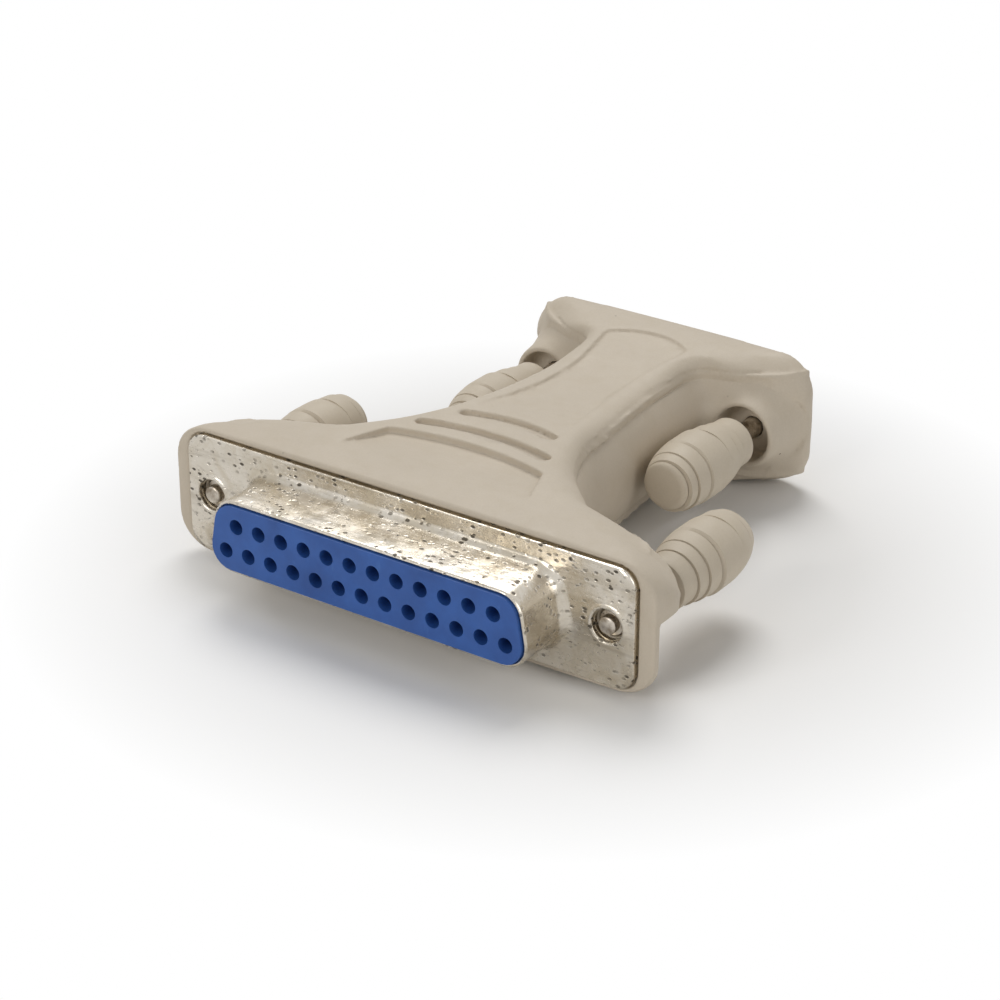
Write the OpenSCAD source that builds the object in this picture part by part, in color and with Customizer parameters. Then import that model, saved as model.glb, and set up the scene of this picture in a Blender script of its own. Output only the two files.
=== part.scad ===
// Moulded serial adapter: a 25-way D-sub socket at the front end, a 9-way D-sub
// socket at the far end, one sculpted hood between them and four captive jackscrews.
// Frame: X across the connectors, Y from the 25-way end to the 9-way end, Z up.
// Origin: bottom centre, under the middle of the length. Units: millimetres.

/* [Hood] */
// Distance between the two metal flange faces
body_l = 50; // [46:0.5:60]
// Hood above and below the metal flanges
rim_wall = 1.225; // [0.8:0.005:2]
// How far the hood's ends reach past the cups round the jackscrews
rim_side = 0.2; // [0:0.05:2]
// Height of the side channels, from crease to crease
channel_h = 10; // [8.6:0.2:12]
// Gap between the waist and the knobs of the 9-way end
waist_gap = 0.58; // [0.3:0.02:1.2]
// Depth of the bare label recess and of the two grip grooves
relief_depth = 0.4; // [0.2:0.05:0.7]
// How far the metal flanges stand proud of the hood's rims
flange_proud = 0.4; // [0.1:0.05:0.5]

/* [D-sub shells] */
// Metal thickness of the shells
shell_t = 0.4; // [0.3:0.05:0.5]
// Height of a socket shell, outside
shell_h = 7.9; // [7.4:0.05:8.4]
// How far a shell stands out of its flange
shell_out = 6; // [5:0.1:7]
// Width of a shell less the distance between its outermost contacts
shell_side = 5.27; // [4.6:0.01:6.4]
// Distance between two jackscrews less the width of the shell between them
screw_side = 8.66; // [7.6:0.02:10.4]
// Width of a flange less the distance between its jackscrews
flange_side = 5.95; // [5:0.05:7.2]
// Height of the metal flanges
flange_h = 12.55; // [12:0.05:15]

/* [Contacts] */
// Distance between neighbouring contacts in a row
pin_pitch = 2.76; // [2.6:0.01:2.84]
// Distance between the two rows
row_pitch = 2.84; // [2.6:0.01:3]
// Radius of the entry holes in the insulators
entry_r = 0.8; // [0.7:0.01:0.9]
// Radius of the bore that takes a plug's pin
contact_bore_r = 0.53; // [0.4:0.01:0.55]

/* [Jackscrews] */
// Outside radius of the screw's threaded end
thread_r = 1.42; // [1.2:0.01:1.5]
// Radius of the plain shank behind the thread
shank_r = 1.05; // [0.9:0.01:1.1]
// Greatest radius of the knob
knob_r = 3.6; // [3.3:0.05:3.8]
// Length of the knob, its stem included
knob_l = 13.3; // [11.6:0.1:14]
// Gap between the floor of a cup and the stem with the screw drawn back
stem_gap = 4.4; // [3.6:0.1:5]

/* [Clearances] */
// Radial running clearance of screws in their bores
run_c = 0.08; // [0.03:0.01:0.1]
// Gap between parts that are assembled together
fit_c = 0.05; // [0.02:0.01:0.1]
// Radial gap between a knob and the cup it moves into
cup_c = 0.35; // [0.3:0.05:0.5]

/* [Hidden] */
CONTACTS25 = 25;
CONTACTS9 = 9;
function two(n) = n < 10 ? str("0", n) : str(n);
$fn = 48;
eps = 0.01;

// Both connectors, from their contacts outwards
wide_row25 = 13;
wide_row9 = 5;
shell25_w = (wide_row25 - 1) * pin_pitch + shell_side;
shell9_w = (wide_row9 - 1) * pin_pitch + shell_side;
screw25_pitch = shell25_w + screw_side;
screw9_pitch = shell9_w + screw_side;
flange25_w = screw25_pitch + flange_side;
flange9_w = screw9_pitch + flange_side;

// Depths behind a flange face, shared by shells, insulators, contacts and pockets
plate_t = shell_t;
plates_t = 2 * plate_t;
insulator_proud = 0.3;
lip_back = 1.6;
box_back = 4.5;
tail_back = 7.8;
tail_room = 0.3;
rivet_lip = 0.35;
lip_over = 0.55;
flange_corner = 2;
shell_corner = 2.6;
flare_side = 1.5;
flare_top = 0.8;
flange_hole_r = thread_r + 0.18;

// Jackscrews: thread, shank, embedded head and the bores they run in
dog_r = shank_r - 0.1;
dog_l = 0.9;
thread_l = 3.3;
tip_proud = 0.1;
thread_bore_r = thread_r + run_c;
shank_bore_r = shank_r + run_c;
head_r = shank_r + 0.65;
head_l = 4;
head_in = 3.4;
stem_r = knob_r - 0.88;
stem_l = 1.9;
grip_end_r = knob_r - 1;

// Steps on one side of the grip: [length from that end, reach from the screw's axis]
STEM_STEPS = [[2.2, stem_r + 0.03], [3.8, knob_r - 0.58], [5.7, knob_r - 0.3]];
END_STEPS = [[0.55, grip_end_r + 0.02], [1.7, knob_r - 0.5], [3.7, knob_r - 0.22]];

// Cups that stand round the screws, and the floor that stops the stem
cup_floor = 4.9;
cup_root = 1.2;
cup_round = 0.4;
near_cup_wall = 0.9;
far_cup_wall = 0.6;
near_cup_y = 7.6;
far_cup_y = 6.3;
stem_y = cup_floor + stem_gap;
tip_room = dog_l + thread_l - tip_proud + run_c;

// Overall sizes of the hood, the height of the jackscrew axes and the two flange faces
hood_h = flange_h + 2 * rim_wall;
wide_end_w = screw25_pitch + 2 * (knob_r + cup_c + near_cup_wall + rim_side);
slim_end_w = screw9_pitch + 2 * (knob_r + cup_c + far_cup_wall + rim_side);
waist_w = screw9_pitch - 2 * (knob_r + waist_gap);
axis_z = hood_h / 2;
near_y = -body_l / 2;
far_y = body_l / 2;

// Contacts: how far they lie behind the shell's edge, their locating collar and solder cup
contact_in = 1.7;
barrel_r = entry_r - fit_c;
collar_r = entry_r + 0.25;
collar_y = 1;
solder_bore_r = barrel_r - 0.2;
solder_bore_l = 2.2;
solder_cut_l = 1.9;
bare_r = solder_bore_r - fit_c;
jacket_r = barrel_r - 0.13;
jacket_gap = 0.4;

// ---------------------------------------------------------------- helpers

// Points of a rounded polygon: corners in order, one radius, steps per corner
function rounded(corners, r, steps) = [
    for (i = [0:len(corners) - 1])
        let (
            n = len(corners),
            p = corners[i],
            a = corners[(i + n - 1) % n] - p,
            b = corners[(i + 1) % n] - p,
            ua = a / norm(a),
            ub = b / norm(b),
            half = acos(ua * ub) / 2,
            mid = (ua + ub) / norm(ua + ub),
            c = p + mid * r / sin(half),
            start = atan2(-mid[1], -mid[0]) - (90 - half))
        for (k = [0:steps])
            let (ang = start + 2 * (90 - half) * k / steps)
            c + r * [cos(ang), sin(ang)]
];

function box_outline(w, h, r, steps = 6) =
    rounded([[-w / 2, -h / 2], [w / 2, -h / 2], [w / 2, h / 2], [-w / 2, h / 2]], r, steps);

// D outline, wide side down, sides 10 degrees off the vertical
function d_outline(w, h, r, steps = 6) =
    let (lean = h * tan(10))
    rounded([[-w / 2, -h / 2], [w / 2, -h / 2], [w / 2 - lean, h / 2], [-w / 2 + lean, h / 2]], r, steps);

// Solid through a row of rings with equal counts; each ring is [y, [[x, z], ...]]
module loft(rings) {
    n = len(rings[0][1]);
    m = len(rings);
    points = [for (ring = rings) for (p = ring[1]) [p[0], ring[0], p[1]]];
    sides = [
        for (j = [0:m - 2])
            for (i = [0:n - 1])
                let (a = j * n + i, b = j * n + (i + 1) % n)
                for (t = [0:1])
                    t == 0 ? [a, b, b + n] : [a, b + n, a + n]
    ];
    start_cap = [for (i = [n - 1:-1:0]) i];
    end_cap = [for (i = [0:n - 1]) (m - 1) * n + i];
    polyhedron(points = points, faces = concat(sides, [start_cap], [end_cap]), convexity = 8);
}

// Prism of a ring of XZ points from y0 to y1
module slab(points, y0, y1) {
    translate([0, y1, 0])
        rotate([90, 0, 0])
            linear_extrude(height = y1 - y0)
                polygon(points);
}

// Cylinder along Y
module bar(r, y0, y1) {
    translate([0, y0, 0])
        rotate([-90, 0, 0])
            cylinder(r = r, h = y1 - y0);
}

// Smooth curve through [key, value] pairs, flat where the neighbours are level
function slope(t, i) =
    i == 0 || i == len(t) - 1 ? 0
    : (t[i + 1][1] - t[i][1]) * (t[i][1] - t[i - 1][1]) <= 0 ? 0
    : (t[i + 1][1] - t[i - 1][1]) / (t[i + 1][0] - t[i - 1][0]);
function span_of(t, x, i = 0) = i >= len(t) - 2 || x < t[i + 1][0] ? i : span_of(t, x, i + 1);
function smooth(t, x) =
    let (
        i = span_of(t, x),
        w = t[i + 1][0] - t[i][0],
        u = max(0, min(1, (x - t[i][0]) / w)),
        a = t[i][1],
        b = t[i + 1][1])
    a * (1 + 2 * u) * pow(1 - u, 2) + b * (3 - 2 * u) * u * u
    + slope(t, i) * w * u * pow(1 - u, 2) - slope(t, i + 1) * w * u * u * (1 - u);

// ---------------------------------------------------------------- hood

// Stations behind the 25-way face, as plain lengths at that end and measured
// back from the 9-way face at the other, so the waist takes up any change of length
wide_a = wide_end_w / 2;
slim_a = slim_end_w / 2;
waist_a = waist_w / 2;
top = hood_h / 2;
chan = channel_h / 2;
rim_y = flange_proud;
function from_far(d) = body_l - d;
function along(u) = 14.2 + u * (from_far(7) - 14.2);

// Half width of the flat spine on top
SPINE = [
    [rim_y, wide_a - 4.2], [2.5, wide_a - 6], [4.5, wide_a - 10.8], [6, 13.6], [8.6, 10.2],
    [along(0), 7.3], [along(0.13), 6], [along(0.3), 5], [along(0.7), 3.8], [along(0.9), 4.1],
    [from_far(6.6), 5.1], [from_far(4), 7.8], [from_far(1.8), slim_a - 5.2],
    [from_far(rim_y), slim_a - 4]];
// Height of the spine above the screw axes
CREST = [
    [rim_y, top - 0.6], [rim_y + 0.4, top - 0.38], [4.5, top - 0.1], [7, top], [10, top],
    [along(0), top - 0.05], [along(0.3), top - 0.3], [along(0.55), top - 0.7],
    [along(0.72), top - 0.7], [from_far(7), top - 0.15], [from_far(5), top],
    [from_far(3.6), top], [from_far(0.8), top - 0.42], [from_far(rim_y), top - 0.6]];
// Half width where the top meets the side channel
CREASE = [
    [rim_y, wide_a - 0.3], [rim_y + 0.4, wide_a], [4, wide_a], [5.6, wide_a - 0.6],
    [6.6, wide_a - 1.8], [7.4, wide_a - 5.4], [8.4, wide_a - 10.6], [10, wide_a - 13.6], [12, 12.7],
    [along(0), 10.8], [along(0.13), 8.8], [along(0.3), 7.8], [along(0.55), 7.1],
    [along(0.8), 6.5], [from_far(9), 6.8], [from_far(7), 8], [from_far(5.4), 11.4],
    [from_far(4), 15.1], [from_far(2.8), slim_a - 0.4], [from_far(1.8), slim_a],
    [from_far(0.8), slim_a], [from_far(rim_y), slim_a - 0.3]];
// Height of that crease above the screw axes
CREASE_Z = [
    [rim_y, 3.1], [2.5, 2.8], [6, 1.6], [7, 2.2], [8.4, chan - 0.5], [10, chan],
    [from_far(7), chan], [from_far(5.4), chan - 0.4], [from_far(4), 3.7],
    [from_far(2.8), 3.2], [from_far(rim_y), 3.1]];
// How far the channel wall bulges out past the crease at mid height
BULGE = [
    [rim_y, 0], [7, 0], [8.4, 0.6], [12, 0.9], [along(0.3), 1], [along(0.8), waist_a - 6.5],
    [from_far(9), waist_a - 6.8], [from_far(7), 1.6], [from_far(4), 0.9], [from_far(2.8), 0.2],
    [from_far(rim_y), 0]];
// Depth of the panel sunk between the two ridges of the spine
PANEL = [
    [rim_y, 0], [along(0.18), 0], [along(0.4), 0.22], [from_far(8), 0.3], [from_far(6.6), 0.3],
    [from_far(6), 0], [from_far(rim_y), 0]];
// Fall of the top from its middle to the edge of the spine
CROWN = [
    [rim_y, 0.3], [5, 0.15], [7, 0], [10, 0], [along(0), 0.05], [from_far(6.2), 0.05], [from_far(5.4), 0],
    [from_far(3.6), 0], [from_far(rim_y), 0.35]];

STATIONS = concat(
    [rim_y, rim_y + 0.15, rim_y + 0.4, 1.6, 2.8, 4, 5, 5.6, 6.1, 6.6, 7.1, 7.6, 8, 8.4, 9.1, 10, 11, 12.5],
    [for (u = [0:0.0625:0.9375]) along(u)],
    [for (d = [7, 6.6, 6.2, 5.8, 5.4, 5, 4.5, 4, 3.4, 2.8, 2.3, 1.8, 1.3, 0.8, rim_y + 0.15, rim_y])
        from_far(d)]);

// One quarter of a section, from the top middle down to the screw axes' level
function quarter(y) =
    let (
        xs = smooth(SPINE, y),
        zs = smooth(CREST, y),
        xc = smooth(CREASE, y),
        zc = smooth(CREASE_Z, y),
        bulge = smooth(BULGE, y),
        sink = smooth(PANEL, y),
        crown = smooth(CROWN, y),
        ze = zs - crown)
    concat(
        [[0, zs - sink], [0.45 * xs, zs - crown * 0.2 - sink],
         [0.86 * xs, ze + crown * 0.2 - sink], [xs, ze]],
        [for (a = [80:-10:0]) [xs + (xc - xs) * cos(a), zc + (ze - zc) * sin(a)]],
        [for (a = [15:15:90]) [xc + bulge * sin(a), zc * cos(a)]]);

function section(y) =
    let (q = quarter(y), n = len(q))
    concat(
        [for (i = [0:n - 1]) [-q[i][0], q[i][1]]],
        [for (i = [n - 2:-1:0]) [-q[i][0], -q[i][1]]],
        [for (i = [1:n - 1]) [q[i][0], -q[i][1]]],
        [for (i = [n - 2:-1:1]) q[i]]);

module hood_skin() {
    loft([for (y = STATIONS) [y, section(y)]]);
}

module mirror_pair(x) {
    for (s = [-1, 1])
        translate([s * x, 0, 0])
            children();
}

// Everything taken out of the hood behind one flange
module connector_pocket(shell_w, flange_w, screw_pitch) {
    slab(box_outline(flange_w + 2 * fit_c, flange_h + 2 * fit_c, flange_corner), -1, plates_t + fit_c);
    slab(d_outline(shell_w + 2 * (lip_over + shell_t + fit_c), shell_h + 2 * (lip_over + shell_t + fit_c),
        shell_corner), plates_t - eps, box_back + fit_c);
    mirror_pair(screw_pitch / 2) {
        bar(thread_bore_r, -1, tip_room);
        bar(shank_bore_r, tip_room - eps, 12);
    }
}

// Collar round a jackscrew, from inside the flange block to its rounded mouth
module cup(wall, mouth) {
    r = knob_r + cup_c + wall;
    loft([
        for (s = [
            [cup_root, 0],
            for (a = [0:30:90]) [mouth - cup_round * (1 - sin(a)), cup_round * (1 - cos(a))]])
            [s[0], [for (a = [0:10:350]) (r - s[1]) * [cos(a), sin(a)]]]
    ]);
}

// Hollow of a cup, deep enough for the stem and the end of the knob
module cup_hollow(mouth) {
    bar(knob_r + cup_c, cup_floor, mouth + 3);
}

module label_recess() {
    back_r = 31;
    back_y = 11.5;
    translate([0, 4.2, top - 0.12])
        rotate([-2.6, 0, 0])
            linear_extrude(height = 3)
                intersection() {
                    translate([0, back_y - 4.2 - back_r])
                        circle(r = back_r, $fn = 96);
                    polygon([[-11.4, 0], [11.4, 0], [9.1, 7.6], [-9.1, 7.6]]);
                }
}

// Shallow groove across the top, bowed towards the 9-way end, with round ends
module grip_groove(apex_y, bow_r, half_w, width) {
    mid_r = bow_r - width / 2;
    end_a = asin(half_w / bow_r);
    translate([0, apex_y - bow_r, top - relief_depth - 0.15])
        linear_extrude(height = 3) {
            intersection() {
                difference() {
                    circle(r = bow_r, $fn = 96);
                    circle(r = bow_r - width, $fn = 96);
                }
                polygon([[0, 0], [2 * bow_r * sin(end_a), 2 * bow_r * cos(end_a)],
                    [-2 * bow_r * sin(end_a), 2 * bow_r * cos(end_a)]]);
            }
            for (s = [-1, 1])
                translate([s * mid_r * sin(end_a), mid_r * cos(end_a)])
                    circle(r = width / 2, $fn = 24);
        }
}

// Both faces of the moulding carry the same relief, as the halves of its mould match
module relief() {
    label_recess();
    grip_groove(15.1, 23.6, 7.6, 1.4);
    grip_groove(19.3, 13.8, 5.4, 1.4);
}

// Room for the soldered tails and the wires
module wire_room() {
    room_h = row_pitch + 3.2;
    half25 = (wide_row25 - 1) / 2 * pin_pitch + entry_r + tail_room;
    half9 = (wide_row9 - 1) / 2 * pin_pitch + entry_r + tail_room;
    translate([-half25, box_back - eps, -room_h / 2])
        cube([2 * half25, tail_back + tail_room - box_back, room_h]);
    translate([-half9, box_back - eps, -room_h / 2])
        cube([2 * half9, body_l - 2 * box_back + 2 * eps, room_h]);
}

// Turns what is built behind the 25-way face round to the 9-way face
module from_far_face() {
    translate([0, body_l, 0])
        mirror([0, 1, 0])
            children();
}

module hood() {
    color([0.78, 0.74, 0.66])
        translate([0, near_y, axis_z])
            difference() {
                union() {
                    hood_skin();
                    mirror_pair(screw25_pitch / 2) cup(near_cup_wall, near_cup_y);
                    from_far_face() mirror_pair(screw9_pitch / 2) cup(far_cup_wall, far_cup_y);
                }
                connector_pocket(shell25_w, flange25_w, screw25_pitch);
                mirror_pair(screw25_pitch / 2) cup_hollow(near_cup_y);
                from_far_face() connector_pocket(shell9_w, flange9_w, screw9_pitch);
                from_far_face() mirror_pair(screw9_pitch / 2) cup_hollow(far_cup_y);
                wire_room();
                relief();
                mirror([0, 0, 1]) relief();
            }
}

// ---------------------------------------------------------------- connectors

// Places a piece of a connector, built behind y = 0, at one end or the other
module at_near() {
    translate([0, near_y, axis_z])
        children();
}
module at_far() {
    translate([0, far_y, axis_z])
        mirror([0, 1, 0])
            children();
}

// Outside of the drawn D shell: rolled front edge, straight wall, flared root
function shell_rings(w, inset) = [
    for (s = [[-shell_out, -0.3, -0.3], [-shell_out + 0.12, -0.1, -0.1], [-shell_out + 0.35, 0, 0],
              [-1.5, 0.05, 0.05], [-0.8, 0.3 * flare_side, 0.3 * flare_top],
              [-0.35, 0.7 * flare_side, 0.7 * flare_top], [eps, flare_side, flare_top]])
        [s[0], d_outline(w + 2 * (s[1] - inset), shell_h + 2 * (s[2] - inset), shell_corner + s[2] - inset)]
];

module front_shell(w, flange_w, screw_pitch) {
    color([0.75, 0.73, 0.68])
        difference() {
            union() {
                loft(shell_rings(w, 0));
                slab(box_outline(flange_w, flange_h, flange_corner), 0, plate_t);
            }
            loft([
                [-shell_out - 1, d_outline(w - 2 * shell_t, shell_h - 2 * shell_t, shell_corner - shell_t)],
                [-1.2, d_outline(w - 2 * shell_t, shell_h - 2 * shell_t, shell_corner - shell_t)],
                [plate_t + 1, d_outline(w - 2 * shell_t, shell_h - 2 * shell_t, shell_corner - shell_t)]]);
            mirror_pair(screw_pitch / 2) bar(flange_hole_r, -1, plate_t + 1);
        }
}

// Rear shell: a plate against the front one and a cup round the insulators
module rear_shell(w, flange_w, screw_pitch) {
    in_w = w + 2 * lip_over;
    in_h = shell_h + 2 * lip_over;
    color([0.7, 0.68, 0.62])
        difference() {
            union() {
                slab(box_outline(flange_w, flange_h, flange_corner), plate_t, plates_t);
                slab(d_outline(in_w + 2 * shell_t, in_h + 2 * shell_t, shell_corner), plate_t, box_back);
            }
            slab(d_outline(in_w, in_h, shell_corner), plate_t - 1, box_back - rivet_lip);
            slab(d_outline(in_w - 1.6, in_h - 1.6, shell_corner - 0.8), plate_t, box_back + 1);
            mirror_pair(screw_pitch / 2) bar(flange_hole_r, -1, plates_t + 1);
        }
}

// Places of the contacts, [x, z], seen from the mating face with the wide row down
function places(wide_n) = concat(
    [for (i = [0:wide_n - 1]) [(i - (wide_n - 1) / 2) * pin_pitch, -row_pitch / 2]],
    [for (i = [0:wide_n - 2]) [(i - (wide_n - 2) / 2) * pin_pitch, row_pitch / 2]]);
PLACES25 = places(wide_row25);
PLACES9 = places(wide_row9);

module entry_holes(spots, r, y0, y1) {
    for (p = spots)
        translate([p[0], 0, p[1]])
            bar(r, y0, y1);
}

module front_insulator(w, spots) {
    color([0.16, 0.34, 0.66])
        difference() {
            union() {
                slab(d_outline(w - 2 * (shell_t + fit_c), shell_h - 2 * (shell_t + fit_c),
                    shell_corner - shell_t), -shell_out - insulator_proud, lip_back);
                slab(d_outline(w + 2 * (lip_over - fit_c), shell_h + 2 * (lip_over - fit_c), shell_corner),
                    plate_t + fit_c, lip_back);
            }
            entry_holes(spots, entry_r, -shell_out - 1, lip_back + 1);
            entry_holes(spots, collar_r + fit_c, collar_y, lip_back + 1);
        }
}

module rear_insulator(w, spots) {
    color([0.14, 0.3, 0.6])
        difference() {
            slab(d_outline(w + 2 * (lip_over - fit_c), shell_h + 2 * (lip_over - fit_c), shell_corner),
                lip_back, box_back - rivet_lip);
            entry_holes(spots, entry_r, lip_back - 1, box_back + 1);
        }
}

// Socket contact: split-free barrel, locating collar and a solder cup cut open on one side
module contact(place) {
    color([0.8, 0.7, 0.4])
        translate([place[0], 0, place[1]])
            difference() {
                union() {
                    bar(barrel_r, contact_in - shell_out, tail_back);
                    bar(collar_r, collar_y + fit_c, lip_back);
                }
                bar(contact_bore_r, -shell_out - 1, 0);
                bar(solder_bore_r, tail_back - solder_bore_l, tail_back + 1);
                translate([-1, tail_back - solder_cut_l, place[1] > 0 ? 0 : -1])
                    cube([2, solder_cut_l + 1, 1]);
            }
}

// Wire from one solder cup to the one that faces it across the hood
module wire(n) {
    place = PLACES9[n - 1];
    color([0.3, 0.3, 0.32])
        translate([place[0], near_y, axis_z + place[1]]) {
            bar(bare_r, tail_back - solder_cut_l, body_l - tail_back + solder_cut_l);
            bar(jacket_r, tail_back + jacket_gap, body_l - tail_back - jacket_gap);
        }
}

// ---------------------------------------------------------------- jackscrews

// Metal screw: dog point, thread blank, shank and the head buried in the knob
module screw() {
    thread_y = dog_l - tip_proud;
    head_y = stem_y + head_in;
    color([0.72, 0.71, 0.68]) {
        bar(dog_r, -tip_proud, thread_y + 1);
        bar(thread_r, thread_y, thread_y + thread_l);
        bar(shank_r, thread_y + 1, head_y + 1);
        bar(head_r, head_y, head_y + head_l);
    }
}

// Knob before its steps are cut: stem, swelling grip and a slightly domed end
module barrel() {
    mid = 0.49 * knob_l;
    rise = knob_r - stem_r;
    fall = knob_r - grip_end_r;
    rotate_extrude()
        polygon(concat(
            [[0, 0], [stem_r - 0.2, 0], [stem_r, 0.2]],
            [for (u = [0:0.125:1]) [stem_r + rise * sin(90 * u), stem_l + (mid - stem_l) * u]],
            [for (u = [0.25:0.125:1]) [knob_r - fall * pow(u, 3.5), mid + (knob_l - 0.3 - mid) * u]],
            [[grip_end_r - 0.3, knob_l - 0.1], [grip_end_r - 1.2, knob_l], [0, knob_l]]));
}

// Takes away what lies outside an eccentric circle that clears the grip on the -X side
module step_cut(z0, z1, reach) {
    clear_side = knob_r + 0.1;
    difference() {
        translate([0, 0, z0])
            cylinder(r = knob_r + 1, h = z1 - z0);
        translate([(reach - clear_side) / 2, 0, z0 - 1])
            cylinder(r = (reach + clear_side) / 2, h = z1 - z0 + 2);
    }
}

module step_cuts(steps) {
    for (i = [0:len(steps) - 1])
        step_cut(i == 0 ? -1 : steps[i - 1][0], steps[i][0], steps[i][1]);
}

// Knob moulded on a screw. Local z runs along the screw, from the stem outwards;
// the steps lie on the +X side at the stem and on the -X side at the free end.
module knob() {
    color([0.76, 0.72, 0.64])
        difference() {
            barrel();
            step_cuts(STEM_STEPS);
            translate([0, 0, knob_l])
                rotate([0, 180, 0])
                    step_cuts(END_STEPS);
            translate([0, 0, -1])
                cylinder(r = shank_bore_r, h = head_in + 2);
            translate([0, 0, head_in - run_c])
                cylinder(r = head_r + run_c, h = head_l + 2 * run_c);
        }
}

// Places a jackscrew's piece beside the 25-way or the 9-way connector, s = -1 left, 1 right
module near_jack(s) {
    at_near()
        translate([s * screw25_pitch / 2, 0, 0])
            children();
}
module far_jack(s) {
    at_far()
        translate([s * screw9_pitch / 2, 0, 0])
            children();
}

// The 9-way knobs are the 25-way ones turned half round about the vertical
module near_knob(s) {
    near_jack(s)
        translate([0, stem_y, 0])
            rotate([-90, 0, 0])
                knob();
}
module far_knob(s) {
    far_jack(s)
        translate([0, stem_y, 0])
            mirror([1, 0, 0])
                rotate([-90, 0, 0])
                    knob();
}

// ---------------------------------------------------------------- sub-parts

module front_shell_25() {
    at_near() front_shell(shell25_w, flange25_w, screw25_pitch);
}
module rear_shell_25() {
    at_near() rear_shell(shell25_w, flange25_w, screw25_pitch);
}
module front_insulator_25() {
    at_near() front_insulator(shell25_w, PLACES25);
}
module rear_insulator_25() {
    at_near() rear_insulator(shell25_w, PLACES25);
}
module contact_25(n) {
    at_near() contact(PLACES25[n - 1]);
}
module front_shell_9() {
    at_far() front_shell(shell9_w, flange9_w, screw9_pitch);
}
module rear_shell_9() {
    at_far() rear_shell(shell9_w, flange9_w, screw9_pitch);
}
module front_insulator_9() {
    at_far() front_insulator(shell9_w, PLACES9);
}
module rear_insulator_9() {
    at_far() rear_insulator(shell9_w, PLACES9);
}
module contact_9(n) {
    at_far() contact(PLACES9[n - 1]);
}

// ---------------------------------------------------------------- nodes

hood();
front_shell_25();
rear_shell_25();
front_insulator_25();
rear_insulator_25();
for (n = [1:CONTACTS25])
    contact_25(n);
front_shell_9();
rear_shell_9();
front_insulator_9();
rear_insulator_9();
for (n = [1:CONTACTS9])
    contact_9(n);
for (n = [1:CONTACTS9])
    wire(n);
near_jack(-1) screw();  // screw_near_left
near_jack(1) screw();  // screw_near_right
far_jack(-1) screw();  // screw_far_left
far_jack(1) screw();  // screw_far_right
near_knob(-1);  // knob_near_left
near_knob(1);  // knob_near_right
far_knob(-1);  // knob_far_left
far_knob(1);  // knob_far_right
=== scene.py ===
"""Looks of the moulded 25-way to 9-way adapter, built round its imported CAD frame."""

import math

import bmesh
import bpy
import numpy as np
import openvdb
from mathutils import Matrix, Vector


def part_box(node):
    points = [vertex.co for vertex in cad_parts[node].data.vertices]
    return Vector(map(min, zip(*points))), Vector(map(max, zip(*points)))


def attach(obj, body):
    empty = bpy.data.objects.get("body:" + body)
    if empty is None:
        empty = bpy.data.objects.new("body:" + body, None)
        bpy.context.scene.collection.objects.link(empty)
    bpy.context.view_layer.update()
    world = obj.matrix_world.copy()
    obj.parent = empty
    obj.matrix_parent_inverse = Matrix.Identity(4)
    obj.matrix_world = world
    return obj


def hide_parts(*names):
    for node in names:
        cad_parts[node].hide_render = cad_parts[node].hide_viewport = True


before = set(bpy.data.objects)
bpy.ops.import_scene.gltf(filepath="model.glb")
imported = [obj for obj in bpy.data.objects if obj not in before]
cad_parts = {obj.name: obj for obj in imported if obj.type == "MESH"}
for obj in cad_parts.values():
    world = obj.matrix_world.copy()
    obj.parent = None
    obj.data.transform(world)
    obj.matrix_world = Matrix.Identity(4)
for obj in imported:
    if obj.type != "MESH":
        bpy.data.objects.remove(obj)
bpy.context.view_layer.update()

MM = 0.001
# sides of a D shell, off the vertical
D_LEAN = math.radians(10)

# Heights and faces of the frame, in millimetres. Pieces are drawn with y = 0 at the
# 25-way flange face and z = 0 on the screw axes, then moved into the frame.
FLANGE_PROUD = 0.4
hood_lo, hood_hi = (Vector(corner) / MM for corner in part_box("hood"))
AXIS_Z = (hood_lo.z + hood_hi.z) / 2
NEAR_Y = hood_lo.y - FLANGE_PROUD
BODY_L = hood_hi.y + FLANGE_PROUD - NEAR_Y
TOP = (hood_hi.z - hood_lo.z) / 2
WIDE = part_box("hood")[1][0] / MM
SLIM = 17.2


def middle_x(node):
    lo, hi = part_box(node)
    return (lo[0] + hi[0]) / 2 / MM


SCREW_X25 = middle_x("screw_near_right")
SCREW_X9 = middle_x("screw_far_right")


def from_far(distance):
    return BODY_L - distance


def in_frame(points):
    """Drawing millimetres to frame metres."""
    return (np.asarray(points, float) + [0, NEAR_Y, AXIS_Z]) * MM


# ---------------------------------------------------------------- meshes


def mesh_piece(name, points, faces, material, body, replaces=(), smooth_angle=None):
    mesh = bpy.data.meshes.new(name)
    mesh.from_pydata([tuple(p) for p in points], [], [tuple(f) for f in faces])
    mesh.validate()
    piece = bpy.data.objects.new(name, mesh)
    bpy.context.collection.objects.link(piece)
    finish_piece(piece, material, body, replaces, smooth_angle)


def finish_piece(piece, material, body, replaces=(), smooth_angle=None):
    mesh = piece.data
    mesh.materials.clear()
    mesh.materials.append(material)
    if smooth_angle is None:
        mesh.polygons.foreach_set("use_smooth", [True] * len(mesh.polygons))
    else:
        bpy.context.view_layer.objects.active = piece
        for other in bpy.context.selected_objects:
            other.select_set(False)
        piece.select_set(True)
        bpy.ops.object.shade_smooth_by_angle(angle=math.radians(smooth_angle))
    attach(piece, body)
    if replaces:
        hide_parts(*replaces)


def ring_faces(rings, count, closed_start=True, closed_end=True):
    faces = []
    for j in range(rings - 1):
        for i in range(count):
            a, b = j * count + i, j * count + (i + 1) % count
            faces.append((a, b, b + count, a + count))
    if closed_start:
        faces.append(tuple(range(count - 1, -1, -1)))
    if closed_end:
        faces.append(tuple((rings - 1) * count + i for i in range(count)))
    return faces


# ---------------------------------------------------------------- hood


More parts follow.
